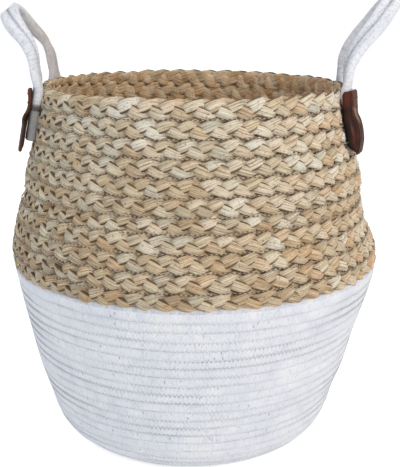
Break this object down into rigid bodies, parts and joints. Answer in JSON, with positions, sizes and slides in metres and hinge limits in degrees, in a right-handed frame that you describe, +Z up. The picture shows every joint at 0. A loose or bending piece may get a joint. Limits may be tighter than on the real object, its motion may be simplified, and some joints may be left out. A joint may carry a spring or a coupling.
{
  "type": "belly basket",
  "caption": "Round soft storage basket wound from cotton rope below and a straw plait above, with two rope handles under leather tabs.",
  "frame": {"origin": "middle of the base's underside, on the surface that the basket stands on", "axes": "+Z up along the basket's axis, -X through the left handle, -Y is the front as pictured"},
  "size_m": [0.362, 0.3514, 0.4132],
  "materials": {
    "cotton_rope": "matt off-white cotton, woven",
    "straw_plait": "dry satin straw with fine fibres",
    "brown_leather": "smooth dark brown leather, slightly shiny"
  },
  "bodies": {
    "basket": {"base_rope_coil": "cotton_rope", "wall_rope_coil": "cotton_rope", "straw_plait_coil": "straw_plait", "left_front_outer_strand_end": "cotton_rope", "left_front_inner_strand_end": "cotton_rope", "left_front_leather_tab": "brown_leather", "left_back_outer_strand_end": "cotton_rope", "left_back_inner_strand_end": "cotton_rope", "left_back_leather_tab": "brown_leather", "right_front_outer_strand_end": "cotton_rope", "right_front_inner_strand_end": "cotton_rope", "right_front_leather_tab": "brown_leather", "right_back_outer_strand_end": "cotton_rope", "right_back_inner_strand_end": "cotton_rope", "right_back_leather_tab": "brown_leather"},
    "left_handle": {"left_handle_outer_strand": "cotton_rope", "left_handle_inner_strand": "cotton_rope"},
    "right_handle": {"right_handle_outer_strand": "cotton_rope", "right_handle_inner_strand": "cotton_rope"}
  },
  "joints": [
    {"name": "left_handle_flex", "type": "hinge", "parent": "basket", "child": "left_handle", "pos_m": [-0.139, 0, 0.3395], "axis": [0, 1, 0], "range_deg": [-85, 95]},
    {"name": "right_handle_flex", "type": "hinge", "parent": "basket", "child": "right_handle", "pos_m": [0.1384, -0.01308, 0.3395], "axis": [-0.0941, -0.9956, 0], "range_deg": [-85, 95]}
  ]
}
